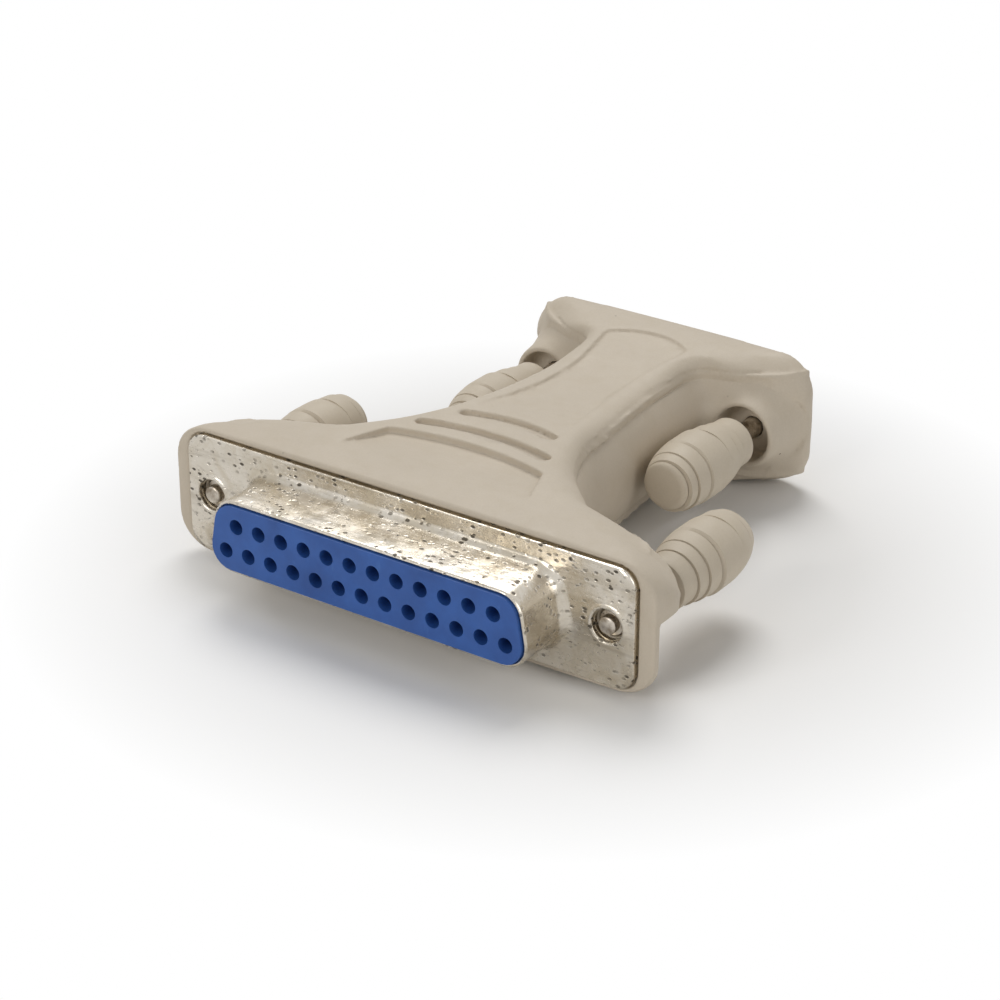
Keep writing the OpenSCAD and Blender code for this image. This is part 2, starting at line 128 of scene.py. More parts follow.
def curve(table, y):
    """Smooth curve through [y, value] pairs, flat where its neighbours turn."""
    keys = np.array([k for k, _ in table], float)
    vals = np.array([v for _, v in table], float)
    slopes = np.zeros(len(vals))
    rise = np.diff(vals)
    for i in range(1, len(vals) - 1):
        if rise[i - 1] * rise[i] > 0:
            slopes[i] = (vals[i + 1] - vals[i - 1]) / (keys[i + 1] - keys[i - 1])
    i = np.clip(np.searchsorted(keys, y, side="right") - 1, 0, len(keys) - 2)
    w = keys[i + 1] - keys[i]
    u = np.clip((y - keys[i]) / w, 0, 1)
    return (
        vals[i] * (1 + 2 * u) * (1 - u) ** 2
        + vals[i + 1] * (3 - 2 * u) * u * u
        + slopes[i] * w * u * (1 - u) ** 2
        - slopes[i + 1] * w * u * u * (1 - u)
    )


def smooth_min(a, b, r):
    h = np.clip(0.5 + 0.5 * (b - a) / r, 0, 1)
    return b * (1 - h) + a * h - r * h * (1 - h)


def smooth_max(a, b, r):
    return -smooth_min(-a, -b, r)


def ellipse(px, pz, a, b):
    """Rough distance to an ellipse with half axes a and b."""
    k0 = np.sqrt((px / a) ** 2 + (pz / b) ** 2)
    k1 = np.sqrt((px / a**2) ** 2 + (pz / b**2) ** 2)
    return k0 * (k0 - 1) / np.maximum(k1, 1e-6)


def rounded_box(x, z, w, h, r):
    qx, qz = np.abs(x) - w / 2 + r, np.abs(z) - h / 2 + r
    return np.hypot(np.maximum(qx, 0), np.maximum(qz, 0)) + np.minimum(np.maximum(qx, qz), 0) - r


def d_shape(x, z, w, h, r):
    """Distance to a D outline, wide side down."""
    side = (np.abs(x) - (w / 2 - r) + (z + h / 2) * math.tan(D_LEAN)) * math.cos(D_LEAN)
    flat = np.abs(z) - (h / 2 - r)
    return np.hypot(np.maximum(side, 0), np.maximum(flat, 0)) + np.minimum(np.maximum(side, flat), 0) - r


RIM = FLANGE_PROUD
FLANGE_H = 12.55
FLANGE25_W, FLANGE9_W = 53.0, 30.92
SHELL25_W, SHELL9_W = 38.39, 16.31
SHELL_H, SHELL_OUT, SHELL_T, SHELL_CORNER = 7.9, 6.0, 0.4, 2.6

# Tables along the hood: [y, value], y from the 25-way flange face.
# half width of the crowned top, and the height of its middle
SPINE = [
    [RIM, WIDE - 4.2], [2.5, WIDE - 6], [4.5, WIDE - 10.8], [6, 13.8], [8.6, 10.6], [14.2, 8],
    [18, 6.6], [22.3, 5.7], [24, 5.4], [26.4, 5], [30, 4.5], [34, 4.3], [36.5, 4.35], [41, 5.0],
    [43.4, 5.6], [46, 7.8], [from_far(1.8), SLIM - 5.2], [from_far(RIM), SLIM - 4],
]
CREST = [
    [RIM, TOP - 0.42], [RIM + 0.6, TOP - 0.3], [4.5, TOP - 0.1], [7, TOP], [10, TOP],
    [14.2, TOP - 0.04], [18, TOP - 0.12], [22, TOP - 0.3], [25, TOP - 0.55], [28, TOP - 0.7],
    [33, TOP - 0.72], [36.5, TOP - 0.55], [41, TOP - 0.2], [45, TOP], [46.4, TOP],
    [from_far(0.8), TOP - 0.12], [from_far(RIM), TOP - 0.18],
]
# half width of the deck's edge, and the height up to which its side is upright
CREASE = [
    [RIM, WIDE - 0.2], [RIM + 0.6, WIDE], [4, WIDE - 0.05], [5.2, WIDE - 0.5], [6.1, 26.9],
    [6.8, 24.3], [7.16, 22.4], [8.46, 17.15], [11, 13.9], [14.2, 10.84], [19.5, 8.3],
    [23.8, 7.7], [27, 7.4], [29.5, 7.1], [35.8, 6.6], [39.8, 6.6], [42, 6.95], [43.1, 7.9],
    [44, 10.6], [45, 12.7], [46.4, 15.2], [from_far(2.6), SLIM - 0.7], [from_far(1.8), SLIM - 0.1],
    [from_far(0.8), SLIM], [from_far(RIM), SLIM - 0.2],
]
CREASE_Z = [
    [RIM, 3.1], [2.5, 2.8], [5.2, 2.2], [6.3, 3.4], [7.2, 4.6], [8.4, 5], [41, 5], [44, 4.9],
    [45, 4.4], [46.4, 3.4], [from_far(2.6), 2.8], [from_far(RIM), 3.1],
]
# fall of the top from its middle to its edge
CROWN = [[RIM, 0.3], [5, 0.15], [8, 0.05], [40, 0.05], [44, 0.08], [from_far(RIM), 0.15]]
# half width of the waist wall at the seam, and its swell on the screw axes
CORE = [
    [1, 25.5], [5, 25], [6.4, 23.8], [7.16, 22.2], [8.46, 17.0], [11, 13.75], [14.2, 10.7],
    [19.5, 8.1], [23.8, 7.5], [27, 7.3], [29.5, 7.0], [35.8, 6.5], [39.8, 6.5], [42, 6.9],
    [43.1, 7.9], [44, 10.4], [45, 12.5], [46.4, 14.6], [48.2, 16], [49.6, 16.6],
]
CORE_BULGE = [
    [1, 0.3], [8.4, 0.6], [12, 1.1], [20, 1.5], [27, 1.6], [36, 2.0], [40, 2.0], [43, 1.7],
    [46, 0.8], [49, 0.2],
]
# half width of the sunk panel
PANEL = [
    [14, 6.6], [18, 5.75], [22.3, 5.1], [24, 4.8], [26.4, 4.4], [30, 3.95], [34, 3.75],
    [36.5, 3.8], [40, 4.3], [43.4, 5.0], [46, 5.6],
]
SEAM_Z, SEAM_R = 5.0, 0.13
SEAM_SPAN_Y, SEAM_LOW_Z = (6.6, 46), 3.6
# back faces of the two end blocks: y on the screw axes, and how far they lean in at the seam
NEAR_BLOCK_Y, NEAR_LEAN = 4.7, 2.3
FAR_BLOCK_Y, FAR_LEAN = 48.7, 3.7
# screw x, root y, mouth y, root radius, mouth radius, blend into the waist wall
BOSSES = (
    (SCREW_X25, 1.5, 7.4, 4.5, 3.85, 1.2),
    (SCREW_X9, from_far(1.4), from_far(7.5), 4.1, 3.65, 2.0),
)
# lower outer corner of the near block: x + slope * y stays under the limit below the ledge
CORNER_LIMIT, CORNER_SLOPE, CORNER_SCALE = 29.3, 0.66, 1.2
CORNER_FRONT_Y, CORNER_BACK_Y, CORNER_LEDGE_Z = 1.15, 14, 0.9
# screw x, whether at the 25-way end, flange width, shell width, cup radius, rounding of the cup's lip
ENDS = (
    (SCREW_X25, True, FLANGE25_W, SHELL25_W, 3.15, 0.3),
    (SCREW_X9, False, FLANGE9_W, SHELL9_W, 3.0, 0.6),
)
POCKET_GAP, POCKET_R, PLATE_DEPTH, SHELL_GAP, SHELL_DEPTH = 0.3, 2.1, 0.85, 2.0, 4.55
BORE_R, BORE_DEPTH, SHANK_HOLE_R, SHANK_DEPTH, CUP_FLOOR = 1.5, 4.2, 1.13, 12, 4.9
PANEL_START_Y, PANEL_END_Y, PANEL_END_R, PANEL_DEPTH = 15, 38.5, 7.0, 0.42
PANEL_RAMP_Y, PANEL_RAMP_L = 17, 9
# label recess: slanted sides, bowed front, arc at the back, floor that slopes down from the front
LABEL_HALF_W, LABEL_TAPER_Y, LABEL_TAPER, LABEL_SCALE = 11.1, 5.2, 0.36, 0.94
LABEL_FRONT_Y, LABEL_BOW, LABEL_ARC_Y, LABEL_ARC_R = 3.95, 0.0045, -19.1, 31
LABEL_EDGE, LABEL_DEPTH, LABEL_RAMP_Y, LABEL_RAMP_L = 0.12, 0.62, 3.8, 5
# bowed grooves: y at the crown of the arc, its outer radius, half width
GROOVES, GROOVE_W, GROOVE_DEPTH = ((15.4, 23.6, 7.5), (19.7, 13.8, 5.3)), 1.45, 0.75
GRID_X, GRID_Y_MARGIN, GRID_Z = 30, 0.6, 8.2
FINE_STEP, QUICK_STEP, BAND_STEPS = 0.2, 0.3, 3


def even(field, step):
    """Field with its slope brought near one, so that blends keep their radius."""
    grads = np.gradient(field, step)
    return field / np.clip(np.sqrt(sum(g * g for g in grads)), 0.7, 6)


def hood_cover(x, y, z):
    """Upper deck and end blocks, for x and z from 0 up."""
    spine, crest, crease = curve(SPINE, y), curve(CREST, y), curve(CREASE, y)
    level, crown = curve(CREASE_Z, y), curve(CROWN, y)
    edge = crest - crown
    over, above = np.maximum(x - spine, 0), np.maximum(z - level, 1e-3)
    shoulder = ellipse(over, above, crease - spine, edge - level)
    flat = z - (crest - crown * (x / spine) ** 2)
    cover = np.where(z <= level, x - crease, np.where(x < spine, flat, shoulder))
    return even(cover, x[1, 0, 0] - x[0, 0, 0])


def hood_core(x, y, z):
    """Waist wall under the decks, rounded outwards between the two seams."""
    swell = np.clip(1 - (z / SEAM_Z) ** 2, 0, 1)
    wall = x - curve(CORE, y) - curve(CORE_BULGE, y) * swell
    return even(wall, x[1, 0, 0] - x[0, 0, 0])


def cylinder_y(x, z, cx, r):
    return np.hypot(x - cx, z) - r


def arc_groove(x, y, apex, bow, half_w, width):
    """Flat distance to a bowed slot with round ends."""
    cy, mid = apex - bow, bow - width / 2
    reach = math.asin(half_w / bow)
    angle = np.clip(np.arctan2(x, y - cy), -reach, reach)
    return np.hypot(x - mid * np.sin(angle), y - cy - mid * np.cos(angle)) - width / 2


def hood_field(step):
    """Distances on a grid, and the grid's first corner."""
    xs = np.arange(-step, GRID_X, step)
    ys = np.arange(-GRID_Y_MARGIN, BODY_L + GRID_Y_MARGIN, step)
    zs = np.arange(-step, GRID_Z, step)
    x, y, z = xs[:, None, None], ys[None, :, None], zs[None, None, :]
    height = np.maximum(z, 0)
    cover, core = hood_cover(x, y, height), hood_core(x, y, height)

    # the decks overhang a channel that ends at the two flange blocks
    swing = np.clip(height / SEAM_Z, 0, 1) ** 2
    near_end, far_end = NEAR_BLOCK_Y + NEAR_LEAN * swing - y, y - (FAR_BLOCK_Y - FAR_LEAN * swing)
    channel = np.maximum(height - SEAM_Z, np.maximum(near_end, far_end))
    cover = smooth_max(cover, -channel, 0.12)

    # tapered bosses round the screws grow out of the waist wall
    for cx, foot, mouth, wide, slim, blend in BOSSES:
        along = np.clip((y - foot) / (mouth - foot), -0.4, 1.2)
        cone = np.hypot(x - cx, z) - (wide + (slim - wide) * along)
        toward = 1 if mouth > foot else -1
        boss = smooth_max(cone, (y - mouth) * toward, 0.8)
        boss = smooth_max(boss, (foot - y) * toward - 0.5, 0.2)
        core = smooth_min(core, boss, blend)
    core = np.maximum(core, height - SEAM_Z - 1)
    body = smooth_min(cover, core, 0.1)
    body = smooth_max(body, x - np.where(y > BODY_L / 2, SLIM, WIDE) + 0.02, 0.2)
    seam = np.hypot(cover, core) - SEAM_R
    on_seam = (height > SEAM_LOW_Z) & (y > SEAM_SPAN_Y[0]) & (y < SEAM_SPAN_Y[1])
    body = smooth_max(body, -np.where(on_seam, seam, 1.0), 0.05)
    body = smooth_max(body, RIM - y, 0.35)
    body = smooth_max(body, y - from_far(RIM), 0.15)

    # sunk panel of the spine, between its two ridges
    wall = np.hypot(x, y - PANEL_END_Y) - PANEL_END_R
    side = x - curve(PANEL, y)
    far_wall = np.where(y > PANEL_END_Y, wall, -5.0)
    panel = smooth_max(np.maximum(side, PANEL_START_Y - y), far_wall, 0.5)
    depth = PANEL_DEPTH * np.clip((y - PANEL_RAMP_Y) / PANEL_RAMP_L, 0, 1)
    floor = curve(CREST, y) - depth
    body = smooth_max(body, -smooth_max(panel, floor - z, 0.22), 0.3)

    # bare label recess and the two bowed grooves
    slant = (x - LABEL_HALF_W + (y - LABEL_TAPER_Y) * LABEL_TAPER) * LABEL_SCALE
    bowed = LABEL_FRONT_Y + LABEL_BOW * x * x - y
    back_arc = np.hypot(x, y - LABEL_ARC_Y) - LABEL_ARC_R
    label = smooth_max(back_arc, smooth_max(slant, bowed, 1.4), 0.25)
    label_floor = TOP - LABEL_EDGE - LABEL_DEPTH * np.clip((y - LABEL_RAMP_Y) / LABEL_RAMP_L, 0, 1)
    body = smooth_max(body, -np.maximum(label, label_floor - z), 0.1)
    for apex, bow, half_w in GROOVES:
        slot = arc_groove(x, y, apex, bow, half_w, GROOVE_W)
        body = smooth_max(body, -np.maximum(slot, curve(CREST, y) - GROOVE_DEPTH - z), 0.1)

    # mirror down, then cut what is different above and below the screw axes
    body = np.concatenate([body[:, :, :0:-1], body[:, :, 1:]], axis=2)
    zs = np.concatenate([-zs[:0:-1], zs[1:]])
    body, zs = np.delete(body, len(zs) // 2, axis=2), np.delete(zs, len(zs) // 2)
    z = zs[None, None, :]
    # the narrower lower corner of the near block also opens the near bosses from below and outside
    corner = (CORNER_LIMIT - x - CORNER_SLOPE * y) / CORNER_SCALE
    undercut = np.maximum(np.maximum(corner, CORNER_FRONT_Y - y), z - CORNER_LEDGE_Z)
    body = smooth_max(body, -np.where(y < CORNER_BACK_Y, undercut, 9.0), 0.5)
    for cx, near, plate_w, shell_w, cup_r, lip in ENDS:
        t = y if near else from_far(y)
        plate = rounded_box(x, z, plate_w + POCKET_GAP, FLANGE_H + POCKET_GAP, POCKET_R)
        plate = np.maximum(plate, t - PLATE_DEPTH)
        shell = d_shape(x, z, shell_w + SHELL_GAP, SHELL_H + SHELL_GAP, SHELL_CORNER)
        shell = np.maximum(shell, t - SHELL_DEPTH)
        bore = np.maximum(cylinder_y(x, z, cx, BORE_R), t - BORE_DEPTH)
        shank = np.maximum(cylinder_y(x, z, cx, SHANK_HOLE_R), t - SHANK_DEPTH)
        hollow = np.maximum(np.maximum(cylinder_y(x, z, cx, cup_r), CUP_FLOOR - t), t - SHANK_DEPTH)
        body = smooth_max(body, -hollow, lip)
        for cut in (plate, shell, bore, shank):
            body = np.maximum(body, -cut)
    body = np.concatenate([body[:1:-1], body[1:]], axis=0)
    return body, np.array([-xs[-1], ys[0], zs[0]])


def build_hood(material):
    step = FINE_STEP
    field, origin = hood_field(step)
    band = BAND_STEPS * step
    grid = openvdb.FloatGrid(band)
    grid.copyFromArray(np.clip(field, -band, band).astype(np.float32))
    points, tris, quads = grid.convertToPolygons(isovalue=0.0, adaptivity=0.06)
    points = in_frame(points * step + origin)
    faces = [tuple(f[::-1]) for f in tris] + [tuple(f[::-1]) for f in quads]
    mesh_piece("hood_moulding", points, faces, material, "housing", ["hood"])


# ---------------------------------------------------------------- knobs

KNOB_R = 3.6
KNOB_L = 13.3
STEM_L = 1.9
STEM_R = 2.72
# grip steps, measured from the stem's end: [end of the step, radius across the stepped side]
STEM_STEPS = [[2.2, 2.72], [3.8, 3.02], [5.7, 3.3]]
FREE_STEPS = [[0.55, 2.6], [1.7, 3.1], [3.7, 3.38]]
STEP_GAP = 0.26


def knob_smooth(t):
    """Radius of the smooth side of a knob at t from the end of its stem."""
    shape = [[0, STEM_R], [STEM_L, STEM_R + 0.05], [3, 3.05], [4.6, 3.42], [6.4, KNOB_R], [8.2, KNOB_R],
             [10.2, 3.42], [11.8, 3.0], [12.8, 2.5], [KNOB_L, 2.0]]
    return float(curve(shape, np.array([t]))[0])


def knob_rings():
    """Stations [t, smooth-side radius, stepped-side radius, side] of a knob; side is +1 or -1."""
    rings = [[0.0, STEM_R - 0.25, STEM_R - 0.25, 1], [0.06, STEM_R - 0.1, STEM_R - 0.1, 1]]
    start = 0.2
    for end, r in STEM_STEPS:
        for k in range(5):
            t = start + (end - 0.03 - start) * k / 4
            rings.append([t, knob_smooth(t), r - 0.05 + 0.07 * k / 4, 1])
        rings.append([end - 0.02, knob_smooth(end), r - STEP_GAP, 1])
        rings.append([end + 0.04, knob_smooth(end), r - STEP_GAP, 1])
        start = end + 0.06
    first_free = KNOB_L - FREE_STEPS[-1][0]
    for k in range(1, 12):
        t = start + (first_free - start) * k / 12
        rings.append([t, knob_smooth(t), knob_smooth(t), 1])
    for i in range(len(FREE_STEPS) - 1, -1, -1):
        t0 = KNOB_L - FREE_STEPS[i][0]
        t1 = KNOB_L - (FREE_STEPS[i - 1][0] if i else 0.0)
        r = FREE_STEPS[i][1]
        rings.append([t0 - 0.04, knob_smooth(t0), r - STEP_GAP, -1])
        rings.append([t0 + 0.02, knob_smooth(t0), r - STEP_GAP, -1])
        if i:
            for k in range(5):
                t = t0 + 0.05 + (t1 - 0.06 - t0 - 0.05) * k / 4
                rings.append([t, knob_smooth(t), r + 0.02 - 0.07 * k / 4, -1])
    cap = FREE_STEPS[0][1]
    t0 = KNOB_L - FREE_STEPS[0][0]
    for a in (0, 25, 45, 60, 72, 82):
        s, c = math.sin(math.radians(a)), math.cos(math.radians(a))
        flat = cap - 0.75 + 0.75 * c
        smooth = min(knob_smooth(t0), cap) - 0.75 + 0.75 * c
        rings.append([t0 + 0.06 + 0.5 * s, smooth, flat, -1])
    rings.append([KNOB_L, 0.9, 0.9, 1])
    return rings


def build_knob(place, material):
    near = place.startswith("near")
    node = "knob_" + place
    lo, hi = (Vector(c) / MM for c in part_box(node))
    cx, cz = (lo.x + hi.x) / 2, (lo.z + hi.z) / 2
    stem_y = lo.y if near else hi.y
    count = 72
    points = []
    for t, smooth, stepped, side in knob_rings():
        radius = (smooth + stepped) / 2
        shift = (stepped - smooth) / 2 * side * (1 if near else -1)
        y = stem_y + t if near else stem_y - t
        for i in range(count):
            a = 2 * math.pi * i / count * (1 if near else -1)
            points.append(((cx + shift + radius * math.sin(a)), y, cz + radius * math.cos(a)))
    points = np.array(points) * MM
    faces = ring_faces(len(points) // count, count)
    mesh_piece("grip_" + place, points, faces, material, "grip_" + place, [node], 35)


# ---------------------------------------------------------------- screws


THREAD_PITCH, THREAD_DEPTH, CREST_R, SHANK_R = 0.635, 0.28, 1.42, 1.05
THREAD_START, THREAD_L, THREAD_STEPS, FADE_STEPS = 0.92, 3.2, 52, 5
SHANK_START, HEAD_R, HEAD_BACK, HEAD_EDGE = 4.2, 1.65, 4.4, 4.3
# dog point: [distance from the tip, radius]
DOG_POINT = ((0, 0.0), (0, 0.72), (0.07, 0.88), (0.16, 0.93), (0.86, 0.93), (0.9, 1.1))


def build_screw(place, material):
    """Dog point, rolled thread, plain shank and the head that the knob hides."""
    near = place.startswith("near")
    node = "screw_" + place
    lo, hi = (Vector(c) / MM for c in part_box(node))
    cx, cz = (lo.x + hi.x) / 2, (lo.z + hi.z) / 2
    tip, head = (lo.y, hi.y) if near else (hi.y, lo.y)
    out = 1 if near else -1
    count = 40
    stations = [(t, r, 0.0) for t, r in DOG_POINT]
    for k in range(THREAD_STEPS + 1):
        t = THREAD_START + THREAD_L * k / THREAD_STEPS
        grow = min(1.0, k / FADE_STEPS, (THREAD_STEPS - k) / FADE_STEPS)
        stations.append((t, CREST_R - THREAD_DEPTH * 0.5, THREAD_DEPTH * grow))
    length = abs(head - tip)
    stations += [(SHANK_START, SHANK_R, 0.0), (length - HEAD_BACK, SHANK_R, 0.0)]
    stations += [(length - HEAD_EDGE, HEAD_R, 0.0), (length, HEAD_R, 0.0), (length, 0.0, 0.0)]
    points = []
    for t, r, wave in stations:
        for i in range(count):
            a = 2 * math.pi * i / count
            phase = (t / THREAD_PITCH - out * i / count) % 1
            ridge = 1 - 4 * abs(phase - 0.5) if wave else 0
            rr = r + wave * 0.5 * max(-1, min(1, 1.4 * ridge))
            points.append((cx + rr * math.cos(a), tip + out * t, cz + rr * math.sin(a)))
    points = np.array(points) * MM
    faces = ring_faces(len(points) // count, count, False, False)
    if near:
        faces = [f[::-1] for f in faces]
    body = "jackscrew_" + place
    mesh_piece("screw_steel_" + place, points, faces, material, body, [node], 40)


# ---------------------------------------------------------------- metal shells


def arc_corners(corners, r, steps=8):
    """Rounded polygon, counter-clockwise corners."""
    out = []
    n = len(corners)
    for i, p in enumerate(corners):
        p = np.array(p, float)
        ua = np.array(corners[i - 1]) - p
        ub = np.array(corners[(i + 1) % n]) - p
        ua, ub = ua / np.linalg.norm(ua), ub / np.linalg.norm(ub)
        half = math.acos(float(np.clip(ua @ ub, -1, 1))) / 2
        mid = (ua + ub) / np.linalg.norm(ua + ub)
        c = p + mid * r / math.sin(half)
        start = math.atan2(-mid[1], -mid[0]) - (math.pi / 2 - half)
        for k in range(steps + 1):
            a = start + 2 * (math.pi / 2 - half) * k / steps
            out.append(c + r * np.array([math.cos(a), math.sin(a)]))
    return out


def d_outline(w, h, r, steps=8):
    lean = h * math.tan(D_LEAN)
    corners = [(-w / 2, -h / 2), (w / 2, -h / 2), (w / 2 - lean, h / 2), (-w / 2 + lean, h / 2)]
    return arc_corners(corners, r, steps)


def rect_outline(w, h, r, steps=8):
    return arc_corners([(-w / 2, -h / 2), (w / 2, -h / 2), (w / 2, h / 2), (-w / 2, h / 2)], r, steps)


def circle(cx, cz, r, steps=40):
    angles = [2 * math.pi * i / steps for i in range(steps)]
    return [(cx + r * math.cos(a), cz + r * math.sin(a)) for a in angles]


FLANGE_R, EDGE_BREAK, EDGE_R, EDGE_T, BACK_CORNER = 2.0, 0.16, 1.95, 0.1, 2.2
# rolled lip of a screw hole: [radius, y]
HOLE_LIP = (
    (2.3, 0.0), (2.2, -0.05), (2.05, -0.13), (1.85, -0.16), (1.72, -0.1), (1.66, 0.02), (1.64, SHELL_T),
)


def build_shell(name, node, w, flange_w, screw_x, near, material):
    """Flange plate with rolled hole lips, and the drawn D shroud with its flared root."""
    bm = bmesh.new()
    steps = 8

    def side(y):
        return y if near else BODY_L - y

    def add_ring(outline, y):
        return [bm.verts.new((p[0], side(y), p[1])) for p in outline]

    def bridge(a, b):
        for i in range(len(a)):
            j = (i + 1) % len(a)
            quad = (a[i], a[j], b[j], b[i])
            bm.faces.new(quad if near else quad[::-1])

    # shroud: from inside the mouth, over its rolled edge, back to the flared root
    profile = [
        (-1.0, -SHELL_T), (-SHELL_OUT + 0.1, -SHELL_T), (-SHELL_OUT, -SHELL_T * 0.75),
        (-SHELL_OUT - 0.01, -SHELL_T * 0.45), (-SHELL_OUT + 0.05, -0.12), (-SHELL_OUT + 0.16, -0.02),
        (-SHELL_OUT + 0.3, 0.0), (-4, 0.0), (-2.2, 0.02), (-1.6, 0.06),
    ]
    for k in range(1, 9):
        a = math.radians(90 * k / 8)
        profile.append((-1.45 + 1.45 * math.sin(a), 0.08 + (1 - math.cos(a))))
    rings = []
    for y, grow in profile:
        flare_x = grow if grow <= 0.08 else 0.08 + (grow - 0.08) * 1.35
        flare_z = grow if grow <= 0.08 else 0.08 + (grow - 0.08) * 0.8
        lean_w = w + 2 * flare_x
        corner_r = SHELL_CORNER + max(grow, -0.4) * 0.8
        rings.append(add_ring(d_outline(lean_w, SHELL_H + 2 * flare_z, corner_r, steps), y))
    for a, b in zip(rings[:-1], rings[1:]):
        bridge(b, a)

    # flange plate, front face filled between its outlines
    def loop_edges(ring):
        pairs = [(ring[i], ring[(i + 1) % len(ring)]) for i in range(len(ring))]
        return [bm.edges.get(pair) or bm.edges.new(pair) for pair in pairs]

    outer_front = add_ring(rect_outline(flange_w - EDGE_BREAK, FLANGE_H - EDGE_BREAK, EDGE_R), 0.0)
    outer_mid = add_ring(rect_outline(flange_w, FLANGE_H, FLANGE_R), EDGE_T)
    outer_back = add_ring(rect_outline(flange_w, FLANGE_H, FLANGE_R), SHELL_T)
    bridge(outer_mid, outer_front)
    bridge(outer_back, outer_mid)
    fill = loop_edges(outer_front) + loop_edges(rings[-1])
    back_fill = loop_edges(outer_back)
    for sx in (-screw_x, screw_x):
        lip_rings = [add_ring(circle(sx, 0, r), y) for r, y in HOLE_LIP]
        for a, b in zip(lip_rings[:-1], lip_rings[1:]):
            bridge(a, b)
        fill += loop_edges(lip_rings[0])
        back_fill += loop_edges(lip_rings[-1])
    back_d = add_ring(d_outline(w - 2 * SHELL_T, SHELL_H - 2 * SHELL_T, BACK_CORNER, steps), SHELL_T)
    bridge(rings[0], back_d)
    back_fill += loop_edges(back_d)
    front = -1 if near else 1
    for edges, facing in ((fill, front), (back_fill, -front)):
        bmesh.ops.triangle_fill(bm, use_beauty=True, use_dissolve=False, edges=edges, normal=(0, facing, 0))
    bmesh.ops.recalc_face_normals(bm, faces=bm.faces)
    for v in bm.verts:
        v.co = Vector(in_frame([v.co])[0])
    mesh = bpy.data.meshes.new(name)
    bm.to_mesh(mesh)
    bm.free()
    piece = bpy.data.objects.new(name, mesh)
    bpy.context.collection.objects.link(piece)
    finish_piece(piece, material, "housing", [node], 50)


# ---------------------------------------------------------------- materials


class Graph:
    """Small helper to write a node material as a chain of calls."""

    def __init__(self, name):
        self.material = bpy.data.materials.new(name)
        self.material.use_nodes = True
        self.tree = self.material.node_tree
        self.tree.nodes.clear()
        self.out = self.tree.nodes.new("ShaderNodeOutputMaterial")
        self.shader = self.tree.nodes.new("ShaderNodeBsdfPrincipled")
        self.link(self.shader.outputs[0], self.out.inputs["Surface"])
        self.coords = self.tree.nodes.new("ShaderNodeTexCoord").outputs["Object"]

    def link(self, a, b):
        self.tree.links.new(a, b)

    def node(self, kind, inputs=None, **settings):
        made = self.tree.nodes.new("ShaderNode" + kind)
        for key, value in settings.items():
            setattr(made, key, value)
        for key, value in (inputs or {}).items():
            if isinstance(value, bpy.types.NodeSocket):
                self.link(value, made.inputs[key])
            else:
                made.inputs[key].default_value = value
        return made

    def scaled(self, scale):
        return self.node("Mapping", {"Vector": self.coords, "Scale": scale}).outputs[0]

    def noise(self, scale, detail=4, rough=0.5, vector=None, distortion=0.0):
        inputs = {"Vector": vector or self.coords, "Scale": scale, "Detail": detail, "Roughness": rough}
        made = self.node("TexNoise", inputs | {"Distortion": distortion})
        return made.outputs["Fac"]

    def spots(self, scale, vector=None):
        return self.node("TexVoronoi", {"Vector": vector or self.coords, "Scale": scale}).outputs["Distance"]

    def span(self, value, lo, hi, to_lo=0.0, to_hi=1.0):
        """Maps lo..hi to to_lo..to_hi, clamped."""
        inputs = {"Value": value, "From Min": lo, "From Max": hi, "To Min": to_lo, "To Max": to_hi}
        return self.node("MapRange", inputs).outputs[0]

    def math(self, operation, a, b=0.0):
        made = self.node("Math", {0: a, 1: b}, operation=operation)
        return made.outputs[0]

    def mix(self, factor, a, b):
        made = self.node("Mix", data_type="RGBA")
        for socket, value in ((made.inputs[0], factor), (made.inputs[6], a), (made.inputs[7], b)):
            if isinstance(value, bpy.types.NodeSocket):
                self.link(value, socket)
            else:
                socket.default_value = value
        return made.outputs[2]

    def bump(self, height, strength, distance, normal=None):
        inputs = {"Height": height, "Strength": strength, "Distance": distance}
        if normal is not None:
            inputs["Normal"] = normal
        return self.node("Bump", inputs).outputs[0]

    def set(self, **values):
        names = {"color": "Base Color", "metallic": "Metallic", "rough": "Roughness", "normal": "Normal",
                 "specular": "Specular IOR Level"}
        for key, value in values.items():
            socket = self.shader.inputs[names[key]]
            if isinstance(value, bpy.types.NodeSocket):
                self.link(value, socket)
            else:
                socket.default_value = value
        return self.material


def rgb(r, g, b):
    """Screen colour 0-255 to linear."""
    def line(c):
        c /= 255
        return c / 12.92 if c <= 0.04045 else ((c + 0.055) / 1.055) ** 2.4

    return (line(r), line(g), line(b), 1.0)


def moulded_beige(name, tint=(200, 188, 170)):
    """Office beige plastic: fine spark texture, uneven ageing and small dirt specks."""
    g = Graph(name)
    base = rgb(*tint)
    pale, aged = rgb(*(c + 5 for c in tint)), rgb(tint[0] - 8, tint[1] - 10, tint[2] - 16)
    broad = g.span(g.noise(120, 3, 0.55), 0.35, 0.7)
    color = g.mix(broad, base, pale)
    color = g.mix(g.span(g.noise(420, 4, 0.6), 0.5, 0.8, 0, 0.35), color, aged)
    fine = g.span(g.noise(5200, 2, 0.5), 0.3, 0.75, 0, 0.22)
    color = g.mix(fine, color, rgb(tint[0] - 18, tint[1] - 18, tint[2] - 20))
    specks = g.math("MULTIPLY", g.span(g.spots(520), 0.075, 0.05), g.span(g.noise(160, 2), 0.6, 0.68))
    color = g.mix(specks, color, rgb(92, 78, 60))
    grain = g.noise(6500, 3, 0.55)
    dents = g.noise(900, 3, 0.5)
    normal = g.bump(grain, 0.35, 0.00003)
    normal = g.bump(dents, 0.25, 0.00008, normal)
    return g.set(color=color, rough=g.span(dents, 0.3, 0.7, 0.5, 0.62), normal=normal, specular=0.35)


